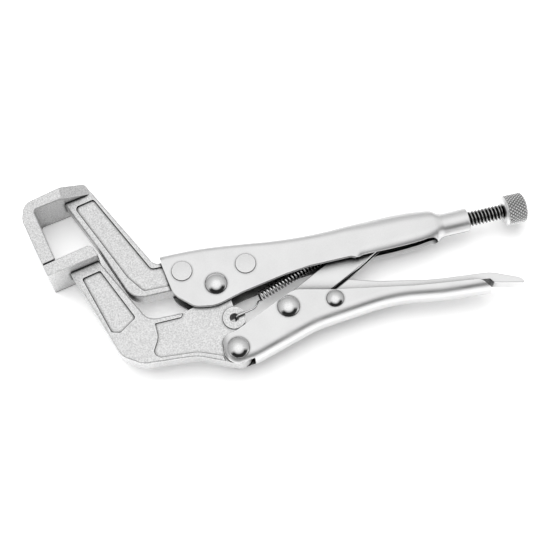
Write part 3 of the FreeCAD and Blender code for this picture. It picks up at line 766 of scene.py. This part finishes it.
def make_spring():
    path = spring_path()
    points = []
    normal = Vector((0, 1, 0))
    for i, centre in enumerate(path):
        ahead = (path[min(i + 1, len(path) - 1)] - path[max(i - 1, 0)]).normalized()
        normal = (normal - ahead * normal.dot(ahead)).normalized()
        other = ahead.cross(normal)
        for side in range(WIRE_SIDES):
            angle = TURN * side / WIRE_SIDES
            out = normal * math.cos(angle) + other * math.sin(angle)
            points.append(centre + out * WIRE_RADIUS)
    faces = grid_faces(len(path), WIRE_SIDES, wrap=True)
    last = (len(path) - 1) * WIRE_SIDES
    faces += [tuple(range(WIRE_SIDES)), tuple(range(last, last + WIRE_SIDES))]
    groove_shades = [coil_inner_shade(point) for point in points]
    piece = new_piece(
        "coiled_spring", points, faces, WIRE, None, "tension_spring", groove_shades=groove_shades
    )
    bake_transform(piece)


make_upper_handle()
make_spring_tab()
make_screw()
make_knob()
make_spring()


# ---------------------------------------------------------------- floor, light and camera

FLOOR_HALF = 6.0
FLOOR_CLOUDS = 6.0
FLOOR_TONES = (0.90, 0.93)
FLOOR_ROUGHNESS, FLOOR_SPECULAR = 0.75, 0.2
# Painted reflection: the floor as the metal mirrors it is darker beyond the clamp; the tone and
# where it sets in, along Y.
MIRRORED_TONE, MIRRORED_FROM = 0.60, (-0.02, 0.03)
# The floor glows, painted light that lightens the shadows on it; less so as the metal mirrors it.
FLOOR_GLOW, MIRRORED_GLOW = 0.25, 0.18


def floor_finish():
    """Matt card that glows a little, painted light that lightens its shadows.

    In the metal's reflections its far side is darker, a painted reflection of a room.
    """
    shader = Finish("floor")
    tone = shader.mix(shader.noise(FLOOR_CLOUDS), *(grey(tone) for tone in FLOOR_TONES))
    beyond = shader.span(shader.axis(shader.place, "Y"), *MIRRORED_FROM, 0.0, 1.0)
    mirrored = shader.ray("Is Glossy Ray")
    tone = shader.mix(shader.maths("MULTIPLY", beyond, mirrored), tone, grey(MIRRORED_TONE))
    shader.give(
        Base_Color=tone, Roughness=FLOOR_ROUGHNESS, Specular_IOR_Level=FLOOR_SPECULAR,
        Emission_Color=grey(1.0),
        Emission_Strength=shader.span(mirrored, 0.0, 1.0, FLOOR_GLOW, MIRRORED_GLOW),
    )
    return shader.material


def make_floor():
    low, _ = cad_bounds
    mesh = bpy.data.meshes.new("floor")
    signs = [(-1, -1), (1, -1), (1, 1), (-1, 1)]
    corners = [(x * FLOOR_HALF, y * FLOOR_HALF, low[2]) for x, y in signs]
    mesh.from_pydata(corners, [], [(0, 1, 2, 3)])
    mesh.materials.append(floor_finish())
    floor = bpy.data.objects.new("floor", mesh)
    scene.collection.objects.link(floor)


# The studio's brightness by height (0 at the horizon, 1 overhead), on the far side of the clamp
# and on the near side, where a dark gap stands between the overhead light and the foreground.
STUDIO_FAR = [(0.0, 0.40), (0.15, 0.48), (0.45, 0.62), (0.74, 0.78), (0.90, 1.04), (1.0, 1.12)]
STUDIO_NEAR = [
    (0.0, 1.15), (0.20, 1.0), (0.34, 0.03), (0.66, 0.02), (0.78, 0.55), (0.90, 1.0), (1.0, 1.08),
]
NEAR_SIDE, FAR_SIDE = -0.38, -0.08
# The backdrop's plain tone as the camera sees it in a low view.
BACKDROP = 0.72


def make_world():
    world = bpy.data.worlds.new("studio")
    world.use_nodes = True
    shader = Shader(world.node_tree)
    direction = shader.node("ShaderNodeTexCoord").outputs["Generated"]
    height = shader.axis(direction, "Z")
    near = shader.ramp(height, STUDIO_NEAR)
    far = shader.ramp(height, STUDIO_FAR)
    share = shader.span(shader.axis(direction, "Y"), NEAR_SIDE, FAR_SIDE, 0.0, 1.0)
    studio = shader.mix(share, near, far)
    light = world.node_tree.nodes["Background"]
    tone = shader.mix(shader.ray("Is Camera Ray"), studio, grey(BACKDROP))
    shader.join(tone, light.inputs["Color"])
    scene.world = world


KEY_PLACE = (-0.18, 0.42, 0.85)
KEY_SIZE = (1.5, 1.3)
KEY_WATTS = 12.5


def make_key_light():
    """A soft lamp aimed at the clamp that lights the floor and stays out of reflections."""
    data = bpy.data.lights.new("key", "AREA")
    data.shape = "RECTANGLE"
    data.size, data.size_y = KEY_SIZE
    data.energy = KEY_WATTS
    lamp = bpy.data.objects.new("key", data)
    lamp.location = KEY_PLACE
    lamp.rotation_euler = (-Vector(KEY_PLACE)).to_track_quat("-Z", "Y").to_euler()
    lamp.visible_glossy = False
    scene.collection.objects.link(lamp)


# The camera looks down at 70 degrees and stands 13.9 degrees to the left of the Y axis.
AZIMUTH = math.radians(-13.9)
ELEVATION = math.radians(70.0)
CAMERA_DISTANCE = 0.650
CAMERA_AIM = at(29.9, 0.0)
CAMERA_LENS, CAMERA_SENSOR = 85.1, 36.0
CAMERA_NEAR = 0.01


def make_camera():
    right = Vector((math.cos(AZIMUTH), math.sin(AZIMUTH), 0.0))
    back = Vector((
        math.sin(AZIMUTH) * math.cos(ELEVATION),
        -math.cos(AZIMUTH) * math.cos(ELEVATION),
        math.sin(ELEVATION),
    ))
    up = back.cross(right)
    data = bpy.data.cameras.new("camera")
    data.lens = CAMERA_LENS
    data.sensor_width = CAMERA_SENSOR
    data.clip_start = CAMERA_NEAR
    camera = bpy.data.objects.new("camera", data)
    turn = Matrix((right, up, back)).transposed().to_4x4()
    camera.matrix_world = Matrix.Translation(CAMERA_AIM + back * CAMERA_DISTANCE) @ turn
    scene.collection.objects.link(camera)
    scene.camera = camera


make_floor()
make_world()
make_key_light()
make_camera()
scene.view_settings.view_transform = "Standard"
